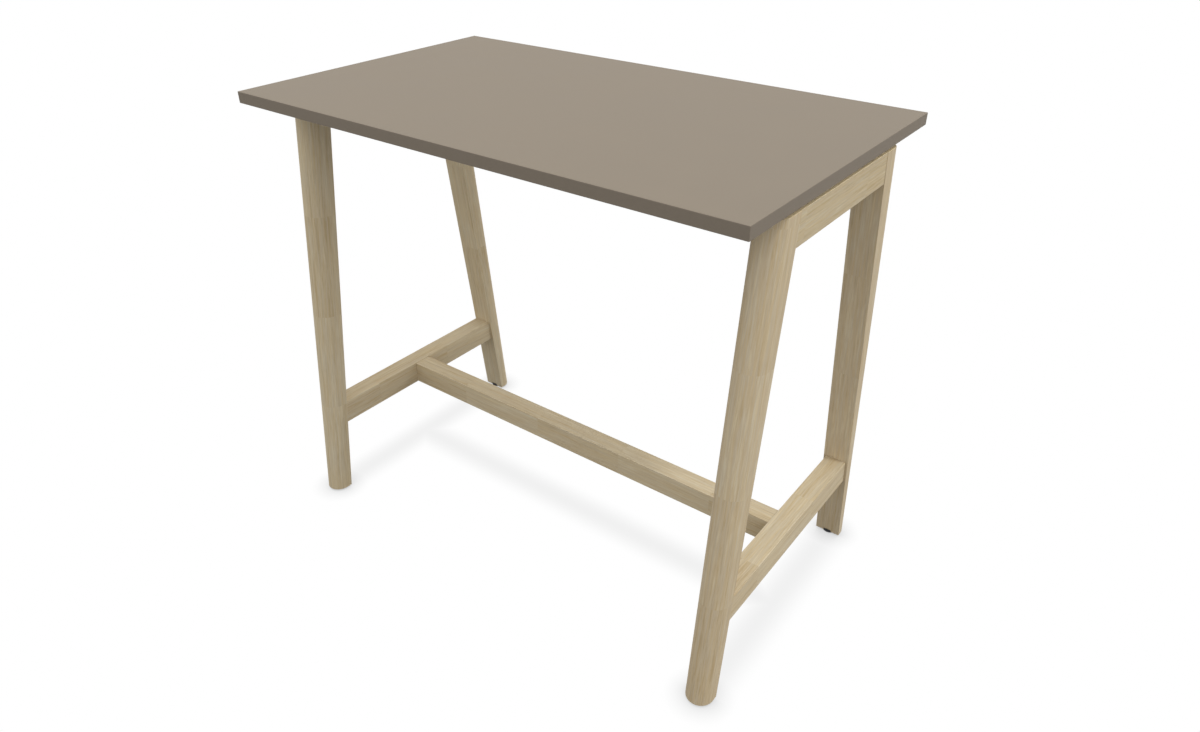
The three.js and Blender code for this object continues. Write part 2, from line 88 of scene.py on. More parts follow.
def leg_outline(bm, z, outer):
    """Points round a leg at a height, from one end of its flat inner face round to the other."""
    half = LEG_WIDTH / 2
    turns = [math.pi * number / LEG_ROUND_STEPS for number in range(LEG_ROUND_STEPS + 1)]
    points = [(half * math.cos(turn), outer - half + half * math.sin(turn)) for turn in turns]
    points = [(half, inner_face(z))] + points + [(-half, inner_face(z))]
    return [bm.verts.new((x, y, z)) for x, y in points]


def recess_outline(bm, z, radius):
    """Points round a recess about the foot's axis, which breaks out of the leg's inner face, at a height."""
    spread = math.asin((FOOT_Y - inner_face(z)) / radius)
    turns = [-spread + (math.pi + 2 * spread) * number / RECESS_STEPS for number in range(RECESS_STEPS + 1)]
    return [bm.verts.new((radius * math.cos(turn), FOOT_Y + radius * math.sin(turn), z)) for turn in turns]


def walled(bm, lower, upper):
    """Wall of faces between two outlines with as many points each."""
    for corners in zip(lower, lower[1:], upper[1:], upper):
        bm.faces.new(corners)


def vertices(geometry):
    return [item for item in geometry if isinstance(item, bmesh.types.BMVert)]


def rounded(bm, edges, radius, segments):
    bmesh.ops.bevel(bm, geom=list(edges), offset=radius, offset_type="OFFSET", segments=segments,
                    profile=0.5, affect="EDGES", clamp_overlap=True, material=-1)


FACING = 0.98
IN_PLANE = 1e-5


def flat_face(bm, direction, spot=None):
    """The largest face that looks in a direction, in the plane of a spot if one is given."""
    bmesh.ops.recalc_face_normals(bm, faces=bm.faces)
    bm.normal_update()
    facing = [face for face in bm.faces if face.normal.dot(direction) > FACING]
    if spot is not None:
        facing = [face for face in facing if abs(face.normal.dot(spot - face.verts[0].co)) < IN_PLANE]
    return max(facing, key=lambda face: face.calc_area())


def ring(bm, centre, radius, axis, steps=DRILL_STEPS):
    """Circle of edges about an axis."""
    turn = Vector(axis).to_track_quat("Z", "Y").to_matrix().to_4x4()
    made = bmesh.ops.create_circle(bm, cap_ends=False, radius=radius, segments=steps,
                                   matrix=Matrix.Translation(centre) @ turn)
    return list({edge for vert in made["verts"] for edge in vert.link_edges})


def drawn_on(bm, rim, shift, scale=1.0):
    """Draws a wall out from a rim, made wider or narrower by a scale, and gives its new rim."""
    verts = vertices(bmesh.ops.extrude_edge_only(bm, edges=rim)["geom"])
    middle = sum((vert.co for vert in verts), Vector()) / len(verts)
    bmesh.ops.scale(bm, verts=verts, vec=(scale,) * 3, space=Matrix.Translation(-middle))
    bmesh.ops.translate(bm, verts=verts, vec=shift)
    edges = {edge for vert in verts for edge in vert.link_edges}
    return [edge for edge in edges if set(edge.verts) <= set(verts)]


def closed(bm, rim):
    bmesh.ops.contextual_create(bm, geom=rim)


def opened(bm, facing, rims):
    """Lays the face that looks in a direction out again round the rims of the holes in it."""
    face = flat_face(bm, facing, rims[0][0].verts[0].co)
    outline = list(face.edges) + [edge for rim in rims for edge in rim]
    bmesh.ops.delete(bm, geom=[face], context="FACES_ONLY")
    bmesh.ops.triangle_fill(bm, use_beauty=True, use_dissolve=False, edges=outline)


def drilled(bm, facing, holes):
    """Drills flat-ended holes, given as rims and depths, square into the face that looks in a direction."""
    opened(bm, facing, [rim for rim, depth in holes])
    for rim, depth in holes:
        closed(bm, drawn_on(bm, rim, -depth * facing))


def dowel_holes(bm, joint, place, side, gap):
    """Holes for the two dowels of a rail, on a face that stands a gap away from the leg's inner face."""
    holes = []
    for level in ("lower", "upper"):
        low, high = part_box(f"dowel_{joint}_{place}_{side}_{level}")
        rim = ring(bm, (low + high) / 2, (high.z - low.z) / 2 + DRILL_CLEARANCE, (0, 1, 0))
        for vert in {vert for edge in rim for vert in edge.verts}:
            vert.co.y = PLACES[place] * (inner_face(vert.co.z) - gap)
        holes.append((rim, DOWEL_HOLE_DEPTH))
    return holes


def leg(place, side):
    insert_low, insert_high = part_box(f"foot_insert_{place}_{side}")
    stud_low, stud_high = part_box(f"foot_stud_{place}_{side}")
    glide_low, glide_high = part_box(f"foot_glide_{place}_{side}")
    recess = (glide_high.x - glide_low.x) / 2 + DRILL_CLEARANCE
    roof_z = insert_low.z

    bm = bmesh.new()
    foot = leg_outline(bm, FOOT_Z, FOOT_OUTER)
    head = leg_outline(bm, HEAD_Z, HEAD_OUTER)
    mouth = recess_outline(bm, FOOT_Z, recess)
    roof = recess_outline(bm, roof_z, recess)
    walled(bm, foot, head)
    walled(bm, mouth, roof)
    bm.faces.new(head)
    bm.faces.new(roof)
    bm.faces.new(foot + mouth[::-1])
    bm.faces.new([foot[0], head[0], head[-1], foot[-1], mouth[-1], roof[-1], roof[0], mouth[0]])
    inner_edges = flat_face(bm, Vector((0, -1, 0))).edges
    long_edges = [edge for edge in inner_edges if edge.calc_length() > HEAD_Z - FOOT_Z]
    rounded(bm, long_edges, LEG_ARRIS, ARRIS_STEPS)
    ends = [flat_face(bm, Vector((0, 0, z))) for z in (-1, 1)]
    end_edges = [edge for end in ends for edge in end.edges if not set(edge.verts) <= set(mouth)]
    rounded(bm, end_edges, LEG_END_ROUNDING, END_ROUND_STEPS)

    across = PLACES[place]
    if place == "front":
        bmesh.ops.rotate(bm, verts=bm.verts, cent=(0, 0, 0), matrix=Matrix.Rotation(math.pi, 3, "Z"))
    bmesh.ops.translate(bm, verts=bm.verts, vec=(SIDES[side] * LEG_X, 0, 0))
    holes = [hole for joint in ("top_rail", "lower_rail") for hole in dowel_holes(bm, joint, place, side, 0)]
    drilled(bm, Vector((0, -across, 0)), holes)

    flange = (insert_high.x - insert_low.x) / 2 + DRILL_CLEARANCE
    barrel = INSERT_RADIUS + DRILL_CLEARANCE
    stud = (stud_high.x - stud_low.x) / 2 + DRILL_SPARE
    rim = ring(bm, (SIDES[side] * LEG_X, across * FOOT_Y, roof_z), flange, (0, 0, 1))
    opened(bm, Vector((0, 0, -1)), [rim])
    rim = drawn_on(bm, rim, (0, 0, INSERT_FLANGE + DRILL_CLEARANCE))
    rim = drawn_on(bm, rim, (0, 0, 0), barrel / flange)
    rim = drawn_on(bm, rim, (0, 0, insert_high.z - insert_low.z - INSERT_FLANGE))
    rim = drawn_on(bm, rim, (0, 0, 0), stud / barrel)
    closed(bm, drawn_on(bm, rim, (0, 0, stud_high.z - insert_high.z + DRILL_SPARE)))
    return bm


SHARP_ANGLE = 35


def finished(name, bm, material, body):
    """Makes a modelled piece the visible one for the CAD node of its name: it rides the node's body."""
    bmesh.ops.recalc_face_normals(bm, faces=bm.faces)
    mesh = bpy.data.meshes.new(f"{name}_shape")
    bm.to_mesh(mesh)
    bm.free()
    mesh.materials.append(material)
    mesh.shade_smooth()
    mesh.set_sharp_from_angle(angle=math.radians(SHARP_ANGLE))
    piece = bpy.data.objects.new(f"{name}_finished", mesh)
    bpy.context.scene.collection.objects.link(piece)
    evened = piece.modifiers.new("evened_shading", "WEIGHTED_NORMAL")
    evened.keep_sharp = True
    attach(piece, body)
    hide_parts(name)
    return mesh


def add(tree, kind, inputs=None, **settings):
    """Adds a shader node. Each input is a value, or the output that feeds it."""
    node = tree.nodes.new("ShaderNode" + kind)
    for name, value in settings.items():
        setattr(node, name, value)
    for name, value in (inputs or {}).items():
        if isinstance(value, bpy.types.NodeSocket):
            tree.links.new(value, node.inputs[name])
        else:
            node.inputs[name].default_value = value
    return node


def worked(tree, operation, *values):
    return add(tree, "Math", dict(enumerate(values)), operation=operation).outputs[0]


def vectors(tree, operation, *values):
    return add(tree, "VectorMath", dict(enumerate(values)), operation=operation).outputs[0]


def step(tree, value, low, high):
    """Smooth step from 0 at low to 1 at high."""
    inputs = {"Value": value, "From Min": low, "From Max": high}
    return add(tree, "MapRange", inputs, interpolation_type="SMOOTHSTEP").outputs[0]


def blended(tree, share, first, second):
    return add(tree, "Mix", {0: share, 6: first, 7: second}, data_type="RGBA").outputs[2]


def colour(red, green, blue):
    """Linear colour from the 0 to 255 values of a colour picker."""
    def linear(value):
        return value / 12.92 if value <= 0.04045 else ((value + 0.055) / 1.055) ** 2.4
    return (linear(red / 255), linear(green / 255), linear(blue / 255), 1)


def node_group(name, inputs, outputs):
    """Empty shader node group with named sockets."""
    tree = bpy.data.node_groups.new(name, "ShaderNodeTree")
    for label, kind in inputs.items():
        tree.interface.new_socket(name=label, in_out="INPUT", socket_type="NodeSocket" + kind)
    for label, kind in outputs.items():
        tree.interface.new_socket(name=label, in_out="OUTPUT", socket_type="NodeSocket" + kind)
    return tree, tree.nodes.new("NodeGroupInput").outputs, tree.nodes.new("NodeGroupOutput").inputs


def noise(tree, place, detail):
    return add(tree, "TexNoise", {"Vector": place, "Scale": 1.0, "Detail": detail}).outputs[0]


def streaks(tree, place, along, across, detail):
    """Noise about zero that is drawn out along X, with so many features per metre along and across."""
    stretched = vectors(tree, "MULTIPLY", place, (along, across, across))
    return worked(tree, "SUBTRACT", noise(tree, stretched, detail), 0.5)


STAVE_LENGTH = 0.25
STAVE_SHIFT = (0.3, 0.1, 0.1)
GRAIN_SWAY = (0, 0.008, 0.006)
COOL_TINT = (0.98, 1.0, 1.05, 1)
WARM_TINT = (1.02, 1.0, 0.95, 1)
WOOD_ROUGHNESS = 0.6
WOOD_ROUGHNESS_SPREAD = 0.25
PORE_RELIEF = -0.8


def wood_grain_group():
    """Straight grain along X, with broad bands, fine streaks, pale flecks and pores, cut into staves."""
    inputs = {"Place": "Vector", "Seam": "Float", "Seed": "Float"}
    inputs.update({"Pale": "Color", "Mean": "Color", "Dark": "Color"})
    outputs = {"Color": "Color", "Roughness": "Float", "Height": "Float"}
    tree, given, result = node_group("wood_grain", inputs, outputs)
    axes = add(tree, "SeparateXYZ", {0: given["Place"]}).outputs
    staves = worked(tree, "DIVIDE", worked(tree, "SUBTRACT", axes[0], given["Seam"]), STAVE_LENGTH)
    draw = worked(tree, "ADD", worked(tree, "FLOOR", staves), given["Seed"])
    chance = add(tree, "TexWhiteNoise", {"W": draw}, noise_dimensions="1D").outputs
    along = worked(tree, "MULTIPLY", worked(tree, "FRACT", staves), STAVE_LENGTH)
    cut = add(tree, "CombineXYZ", {0: along, 1: axes[1], 2: axes[2]}).outputs[0]
    cut = vectors(tree, "ADD", cut, vectors(tree, "MULTIPLY", chance["Color"], STAVE_SHIFT))
    apart = add(tree, "CombineXYZ", {0: given["Seed"], 1: given["Seed"]}).outputs[0]
    cut = vectors(tree, "ADD", cut, apart)

    wander = streaks(tree, cut, along=4.0, across=26.0, detail=1.0)
    line = vectors(tree, "ADD", cut, vectors(tree, "MULTIPLY", wander, GRAIN_SWAY))
    bands = streaks(tree, line, along=2.5, across=85.0, detail=1.0)
    streak = streaks(tree, line, along=7.0, across=240.0, detail=1.0)
    fine = streaks(tree, line, along=28.0, across=640.0, detail=2.0)
    flecks = step(tree, streaks(tree, line, along=14.0, across=210.0, detail=1.0), low=0.1, high=0.22)
    pores = step(tree, streaks(tree, line, along=70.0, across=1500.0, detail=1.0), low=0.17, high=0.26)
    warmth = step(tree, streaks(tree, line, along=10.0, across=320.0, detail=1.0), low=-0.2, high=0.2)
    tone = worked(tree, "SUBTRACT", chance["Value"], 0.5)

    figure = 0.5
    shares = [(bands, 0.7), (streak, 1.0), (fine, 1.2), (flecks, 0.15), (tone, 0.2), (pores, -0.35)]
    for part, share in shares:
        figure = worked(tree, "MULTIPLY_ADD", part, share, figure)
    shade = blended(tree, step(tree, figure, low=0.0, high=0.5), given["Dark"], given["Mean"])
    shade = blended(tree, step(tree, figure, low=0.5, high=1.0), shade, given["Pale"])
    tint = blended(tree, warmth, COOL_TINT, WARM_TINT)
    tree.links.new(vectors(tree, "MULTIPLY", shade, tint), result["Color"])
    roughness = worked(tree, "MULTIPLY_ADD", fine, WOOD_ROUGHNESS_SPREAD, WOOD_ROUGHNESS)
    tree.links.new(roughness, result["Roughness"])
    relief = worked(tree, "ADD", fine, 0.5)
    tree.links.new(worked(tree, "MULTIPLY_ADD", pores, PORE_RELIEF, relief), result["Height"])
    return tree


WOOD_GRAIN = wood_grain_group()


def surfaced(name, roughness, specular, metallic=0.0):
    """Material whose plain values are on its own shader."""
    material = bpy.data.materials.new(name)
    material.use_nodes = True
    shader = material.node_tree.nodes["Principled BSDF"].inputs
    shader["Roughness"].default_value = roughness
    shader["Specular IOR Level"].default_value = specular
    shader["Metallic"].default_value = metallic
    return material, material.node_tree, shader


def raised(tree, shader, height, depth, strength):
    """Relief of a real depth on a surface."""
    bump = add(tree, "Bump", {"Height": height, "Distance": depth, "Strength": strength})
    tree.links.new(bump.outputs[0], shader["Normal"])


# Painted light: a paler ash painted on the heads of the legs and top rails, in the shadow gap under the
# board.
HEAD_PAINTED_LIGHT = colour(252, 231, 188)
HEAD_PAINTED_LIGHT_DEPTH = 0.0004


def wood(name, grain, middle, seam, seed, tones):
    """Wood with its grain along a direction through the middle of the piece, and one seam so far along it.

    The heads of the legs and top rails, which the board hides, are painted paler, as painted light in the
    shadow gap under the board.
    """
    material, tree, shader = surfaced(name, WOOD_ROUGHNESS, specular=0.1)
    turn = Vector(grain).rotation_difference(Vector((1, 0, 0)))
    spot = add(tree, "TexCoord").outputs["Object"]
    place = add(tree, "Mapping", {"Vector": spot, "Rotation": turn.to_euler(),
                                  "Location": -(turn @ Vector(middle))})
    inputs = {"Place": place.outputs[0], "Seam": seam, "Seed": seed}
    inputs.update(zip(("Pale", "Mean", "Dark"), tones))
    grained = add(tree, "Group", inputs, node_tree=WOOD_GRAIN).outputs
    height = add(tree, "SeparateXYZ", {0: spot}).outputs[2]
    # Painted light on the heads under the board.
    painted_light_on_heads = step(tree, height, HEAD_Z - HEAD_PAINTED_LIGHT_DEPTH, HEAD_Z - HEAD_PAINTED_LIGHT_DEPTH / 4)
    tree.links.new(blended(tree, painted_light_on_heads, grained["Color"], HEAD_PAINTED_LIGHT), shader["Base Color"])
    tree.links.new(grained["Roughness"], shader["Roughness"])
    raised(tree, shader, grained["Height"], depth=0.0004, strength=0.25)
    return material


# Painted light: the left legs' tones are painted paler than the right legs', on the legs that stand in the
# board's shade.
LEG_ASH_PAINTED_LIGHT_BY_SIDE = {"left": (colour(214, 201, 173), colour(203, 187, 156), colour(188, 168, 133)),
           "right": (colour(211, 197, 168), colour(200, 182, 151), colour(185, 164, 129))}
LEG_SEAM_Z = 0.2535

for number, (place, side) in enumerate(CORNERS):
    x = SIDES[side] * LEG_X
    foot_middle = Vector((x, PLACES[place] * (FOOT_INNER + FOOT_OUTER) / 2, FOOT_Z))
    head_middle = Vector((x, PLACES[place] * (HEAD_INNER + HEAD_OUTER) / 2, HEAD_Z))
    grain = (head_middle - foot_middle).normalized()
    ash = wood(f"ash_leg_{place}_{side}", grain, foot_middle, seam=(LEG_SEAM_Z - FOOT_Z) / grain.z,
               seed=3.0 + number, tones=LEG_ASH_PAINTED_LIGHT_BY_SIDE[side])
    finished(f"leg_{place}_{side}", leg(place, side), ash, "root")


# Top rails
# One bar of ash at each end ties the heads of two legs, with its ends trimmed to the legs' slant and
# glued on with dowels. Screws that hold the board stand in deep counterbores in its underside.

RAIL_ARRIS = 0.001
RAIL_END_ROUNDING = 0.0004
SCREW_HOLE_RADIUS = 0.0033
COUNTERBORE_RADIUS = 0.008
COUNTERBORE_DEPTH = 0.03
LONG_EDGE = 0.2


def middle_of(name):
    """Middle of a node's box."""
    low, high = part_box(name)
    return (low + high) / 2


def bar(low, high):
    """Squared block between two corners."""
    bm = bmesh.new()
    size = high - low
    place = Matrix.Translation((low + high) / 2) @ Matrix.Diagonal((*size, 1))
    bmesh.ops.create_cube(bm, size=1, matrix=place)
    return bm


def eased(bm, along):
    """Rounds the long edges of squared timber, then takes the sharpness off its ends."""
    long_edges = [edge for edge in bm.edges if abs((edge.verts[0].co - edge.verts[1].co)[along]) > LONG_EDGE]
    rounded(bm, long_edges, RAIL_ARRIS, ARRIS_STEPS)
    direction = Vector((0, 0, 0))
    direction[along] = 1
    ends = [flat_face(bm, direction), flat_face(bm, -direction)]
    rounded(bm, [edge for end in ends for edge in end.edges], RAIL_END_ROUNDING, END_ROUND_STEPS)


def rail(joint, side):
    """Bar across a trestle with slanting ends, drilled for the dowels of both legs."""
    low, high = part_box(f"{joint}_{side}")
    bm = bar(low, high)
    gap = inner_face(low.z) - high.y
    for vert in bm.verts:
        vert.co.y = math.copysign(inner_face(vert.co.z) - gap, vert.co.y)
    eased(bm, 1)
    for place in PLACES:
        drilled(bm, Vector((0, PLACES[place], 0)), dowel_holes(bm, joint, place, side, gap))
    return bm


def top_rail(side):
    bm = rail("top_rail", side)
    low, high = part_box(f"top_rail_{side}")
    middles = [middle_of(f"board_screw_{place}_{side}") for place in PLACES]
    mouths = [ring(bm, (spot.x, spot.y, low.z), COUNTERBORE_RADIUS, (0, 0, 1)) for spot in middles]
    outlets = [ring(bm, (spot.x, spot.y, high.z), SCREW_HOLE_RADIUS, (0, 0, 1)) for spot in middles]
    opened(bm, Vector((0, 0, -1)), mouths)
    opened(bm, Vector((0, 0, 1)), outlets)
    for mouth, outlet in zip(mouths, outlets):
        seat = drawn_on(bm, mouth, (0, 0, COUNTERBORE_DEPTH))
        neck = drawn_on(bm, seat, (0, 0, 0), SCREW_HOLE_RADIUS / COUNTERBORE_RADIUS)
        bmesh.ops.bridge_loops(bm, edges=neck + outlet)
    return bm


# Painted shade: the top rails are painted a darker ash than the lower rails, to take down the stronger light
# they get high up.
TOP_RAIL_ASH_PAINTED_SHADE = (colour(208, 195, 166), colour(198, 181, 149), colour(183, 163, 127))
RAIL_SEAM_Y = 0.095

for number, side in enumerate(SIDES):
    ash = wood(f"ash_top_rail_{side}", (0, 1, 0), middle_of(f"top_rail_{side}"), seam=RAIL_SEAM_Y,
               seed=11.0 + number, tones=TOP_RAIL_ASH_PAINTED_SHADE)
    finished(f"top_rail_{side}", top_rail(side), ash, "root")


# Lower rails
# The same bars a quarter of the way up, doweled and glued between the legs of each trestle. The face
# towards the middle of the table takes two dowels and the bolt of the stretcher's cam lock.

ASH = (colour(215, 201, 172), colour(204, 187, 155), colour(189, 168, 132))
BOLT_RADIUS = 0.0032
BOLT_HEAD_RADIUS = 0.0035


def stretcher_joint_holes(bm, side, face_x, bolt_hole_radius, bolt_hole_depth):
    """Holes for the stretcher's two dowels and cam bolt, on a face across X."""
    holes = []
    for place in PLACES:
        low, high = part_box(f"dowel_stretcher_{place}_{side}")
        middle = (low + high) / 2
        radius = (high.y - low.y) / 2 + DRILL_CLEARANCE
        holes.append((ring(bm, (face_x, middle.y, middle.z), radius, (1, 0, 0)), DOWEL_HOLE_DEPTH))
    middle = middle_of(f"cam_bolt_{side}")
    rim = ring(bm, (face_x, middle.y, middle.z), bolt_hole_radius + DRILL_CLEARANCE, (1, 0, 0))
    holes.append((rim, bolt_hole_depth))
    return holes


def lower_rail(side):
    bm = rail("lower_rail", side)
    low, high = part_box(f"lower_rail_{side}")
    inner_x = low.x if side == "right" else high.x
    holes = stretcher_joint_holes(bm, side, inner_x, BOLT_RADIUS, DOWEL_HOLE_DEPTH)
    drilled(bm, Vector((-SIDES[side], 0, 0)), holes)
    return bm


for number, side in enumerate(SIDES):
    ash = wood(f"ash_lower_rail_{side}", (0, 1, 0), middle_of(f"lower_rail_{side}"), seam=RAIL_SEAM_Y,
               seed=13.0 + number, tones=ASH)
    finished(f"lower_rail_{side}", lower_rail(side), ash, "root")


# Stretcher
# A long bar of ash between the lower rails, which also serves as a foot rest. Each end is drilled for
# two dowels and a bolt, and its underside is bored beside each end for a cam lock.

CAM_HOLE_SPARE = 0.001
BOLT_HOLE_TO_CAM = 0.016
STRETCHER_SEAM_X = 0.147


def stretcher():
    low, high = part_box("stretcher")
    bm = bar(low, high)
    eased(bm, 0)
    for side, end in SIDES.items():
        holes = stretcher_joint_holes(bm, side, end * high.x, BOLT_HEAD_RADIUS, BOLT_HOLE_TO_CAM)
        drilled(bm, Vector((end, 0, 0)), holes)
    cam_holes = []
    for side in SIDES:
        cam_low, cam_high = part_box(f"cam_lock_{side}")
        radius = (cam_high.y - cam_low.y) / 2 + DRILL_CLEARANCE
        middle = (cam_low + cam_high) / 2
        rim = ring(bm, (middle.x, middle.y, low.z), radius, (0, 0, 1))
        cam_holes.append((rim, cam_high.z - low.z + CAM_HOLE_SPARE))
    drilled(bm, Vector((0, 0, -1)), cam_holes)
    return bm


ash = wood("ash_stretcher", (1, 0, 0), middle_of("stretcher"), seam=STRETCHER_SEAM_X, seed=15.0, tones=ASH)
finished("stretcher", stretcher(), ash, "root")


# Dowels
# Ready-made beech dowels with glue flutes along them and chamfered ends: two in every joint between a
# rail and a leg, and two at each end of the stretcher.

DOWEL_FLUTES = 16
DOWEL_FLUTE_DEPTH = 0.0003
DOWEL_TIP = 0.001
SAME_POINT = 1e-6


def turned(profile, steps):
    """Turns a profile of radii and heights about Z, with its two ends closed by flat faces."""
    bm = bmesh.new()
    points = [bm.verts.new((radius, 0, height)) for radius, height in profile]
    edges = [bm.edges.new(pair) for pair in zip(points, points[1:])]
    bmesh.ops.spin(bm, geom=points + edges, cent=(0, 0, 0), axis=(0, 0, 1), angle=math.tau, steps=steps,
                   use_merge=True)
    bmesh.ops.remove_doubles(bm, verts=bm.verts, dist=SAME_POINT)
    bmesh.ops.holes_fill(bm, edges=[edge for edge in bm.edges if edge.is_boundary], sides=0)
    return bm


def laid_along(bm, start, axis):
    """Lays a piece that was made along Z from the origin along another axis, from a start."""
    turn = Vector(axis).to_track_quat("Z", "Y").to_matrix().to_4x4()
    bmesh.ops.transform(bm, matrix=Matrix.Translation(start) @ turn, verts=bm.verts)


def dowel(low, high):
    size = high - low
    length = max(size)
    radius = min(size) / 2
    ends = [(radius - DOWEL_TIP, 0), (radius, DOWEL_TIP)]
    profile = ends + [(reach, length - height) for reach, height in reversed(ends)]
    bm = turned(profile, 2 * DOWEL_FLUTES)
    for vert in bm.verts:
        turn = math.atan2(vert.co.y, vert.co.x)
        if round(turn * DOWEL_FLUTES / math.pi) % 2:
            vert.co.xy *= 1 - DOWEL_FLUTE_DEPTH / radius
    axis = Vector([int(side == length) for side in size])
    laid_along(bm, (low + high) / 2 - axis * length / 2, axis)
    return bm


BEECH = (colour(220, 190, 150), colour(203, 168, 126), colour(178, 138, 98))
dowels_along = {"x": [f"dowel_stretcher_{place}_{side}" for place, side in CORNERS],
                "y": [f"dowel_{joint}_{place}_{side}_{level}" for joint in ("top_rail", "lower_rail")
                      for place, side in CORNERS for level in ("lower", "upper")]}
grain_along = {"x": (1, 0, 0), "y": (0, 1, 0)}

for axis, names in dowels_along.items():
    beech = wood(f"beech_dowel_along_{axis}", grain_along[axis], (0, 0, 0), seam=0.1, seed=21.0, tones=BEECH)
    for name in names:
        finished(name, dowel(*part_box(name)), beech, "root")


# Cam locks and cam bolts
# Zinc fittings that draw the stretcher up to the lower rails. The cam is a disc in the stretcher's
# underside, turned with a cross-head driver, and the bolt is screwed into the rail.

THREAD_STEPS = 24
THREAD_FLANK = 0.42
THREAD_CREST = 0.99
THREAD_LEAD = 1.3
THREAD_SPARE_TURNS = 2
THREAD_WELD = 0.005
BOLT_PITCH = 0.0025
BOLT_DEPTH = 0.0007
BOLT_NECK_RADIUS = 0.0025
BOLT_HEAD_LENGTH = 0.004
BOLT_THREAD_LENGTH = 0.02
BOLT_CHAMFER = 0.0005
BOLT_TIP = 0.003
BOLT_TIP_TAPER = 0.5
BOLT_STEPS = 32


def fine_mottle_group():
    """Two scales of even, directionless mottle, for coated and moulded surfaces."""
    inputs = {"Place": "Vector", "Coarse": "Float", "Fine": "Float"}
    tree, given, result = node_group("fine_mottle", inputs, {"Cloud": "Float", "Grain": "Float"})
    for wanted, scale, detail in (("Cloud", "Coarse", 3.0), ("Grain", "Fine", 2.0)):
        scaled = add(tree, "VectorMath", {0: given["Place"], "Scale": given[scale]}, operation="SCALE")
        tree.links.new(noise(tree, scaled.outputs[0], detail), result[wanted])
    return tree


FINE_MOTTLE = fine_mottle_group()


def mottled(name, first, second, roughness, spread, specular, coarse, fine, depth, strength, metallic=0.0):
    """Coated or moulded surface between two near colours, with fine relief."""
    material, tree, shader = surfaced(name, roughness, specular, metallic)
    inputs = {"Place": add(tree, "TexCoord").outputs["Object"], "Coarse": coarse, "Fine": fine}
    mottle = add(tree, "Group", inputs, node_tree=FINE_MOTTLE).outputs
    cloud = step(tree, mottle["Cloud"], low=0.3, high=0.7)
    tree.links.new(blended(tree, cloud, first, second), shader["Base Color"])
    rough = worked(tree, "MULTIPLY_ADD", cloud, spread, roughness - spread / 2)
    tree.links.new(rough, shader["Roughness"])
    raised(tree, shader, mottle["Grain"], depth, strength)
    return material


ZINC = mottled("zinc_plated_steel", colour(176, 178, 181), colour(202, 204, 207), roughness=0.34,
               spread=0.14, specular=0.5, coarse=160.0, fine=2400.0, depth=0.0001, strength=0.2,
               metallic=1.0)


def threaded(bm, start, root, crest, pitch, bottom, top):
    """Winds a thread about Z from one height to another, on from a ring of edges, and gives its top rim."""
    turns = math.ceil((top - bottom) / pitch) + THREAD_SPARE_TURNS
    first = bottom - THREAD_LEAD * pitch
    flank = THREAD_FLANK * pitch
    land = crest * THREAD_CREST
    profile = [(root, 0), (land, flank), (land, pitch - flank), (root, pitch)]
    known = set(bm.verts)
    points = [bm.verts.new((radius, 0, first + height)) for radius, height in profile]
    edges = [bm.edges.new(pair) for pair in zip(points, points[1:])]
    bmesh.ops.spin(bm, geom=points + edges, cent=(0, 0, 0), axis=(0, 0, 1), angle=math.tau * turns,
                   dvec=(0, 0, pitch / THREAD_STEPS), steps=THREAD_STEPS * turns)
    wound = [vert for vert in bm.verts if vert not in known]
    bmesh.ops.remove_doubles(bm, verts=wound, dist=THREAD_WELD * pitch)
    rims = []
    for height, normal in ((bottom, (0, 0, -1)), (top, (0, 0, 1))):
        wound = [vert for vert in bm.verts if vert not in known]
        parts = {face for vert in wound for face in vert.link_faces}
        parts |= {edge for vert in wound for edge in vert.link_edges}
        cut = bmesh.ops.bisect_plane(bm, geom=wound + list(parts), plane_co=(0, 0, height), plane_no=normal,
                                     clear_outer=True)
        rims.append([edge for edge in cut["geom_cut"] if isinstance(edge, bmesh.types.BMEdge)])
    bmesh.ops.triangle_fill(bm, use_beauty=True, edges=list(start) + rims[0])
    return rims[1]


def top_ring(bm):
    """Edges of the highest flat face of a turned piece, which is taken off."""
    face = max(bm.faces, key=lambda face: face.calc_center_median().z)
    edges = list(face.edges)
    bmesh.ops.delete(bm, geom=[face], context="FACES_ONLY")
    return edges


def cam_bolt(side):
    low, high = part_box(f"cam_bolt_{side}")
    length = high.x - low.x
    thread_start = length - BOLT_THREAD_LENGTH
    collar = thread_start - BOLT_CHAMFER
    face_radius = BOLT_HEAD_RADIUS - BOLT_CHAMFER
    profile = [(face_radius, 0), (BOLT_HEAD_RADIUS, BOLT_CHAMFER),
               (BOLT_HEAD_RADIUS, BOLT_HEAD_LENGTH - BOLT_CHAMFER), (face_radius, BOLT_HEAD_LENGTH),
               (BOLT_NECK_RADIUS, BOLT_HEAD_LENGTH), (BOLT_NECK_RADIUS, collar),
               (BOLT_RADIUS, collar), (BOLT_RADIUS, thread_start)]
    bm = turned(profile, BOLT_STEPS)
    rim = threaded(bm, top_ring(bm), BOLT_RADIUS - BOLT_DEPTH, BOLT_RADIUS, BOLT_PITCH, thread_start,
                   length - BOLT_TIP)
    closed(bm, drawn_on(bm, rim, (0, 0, BOLT_TIP), BOLT_TIP_TAPER))
    start = Vector((low.x if side == "right" else high.x, (low.y + high.y) / 2, (low.z + high.z) / 2))
    laid_along(bm, start, (SIDES[side], 0, 0))
    return bm


for side in SIDES:
    cam_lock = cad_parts[f"cam_lock_{side}"]
    cam_lock.data.materials.clear()
    cam_lock.data.materials.append(ZINC)
    finished(f"cam_bolt_{side}", cam_bolt(side), ZINC, "root")


# Spacers and board screws
# Black moulded washers keep the shadow gap between the trestles and the board. A socket-head wood
# screw goes up through each rail and its spacer into the board.

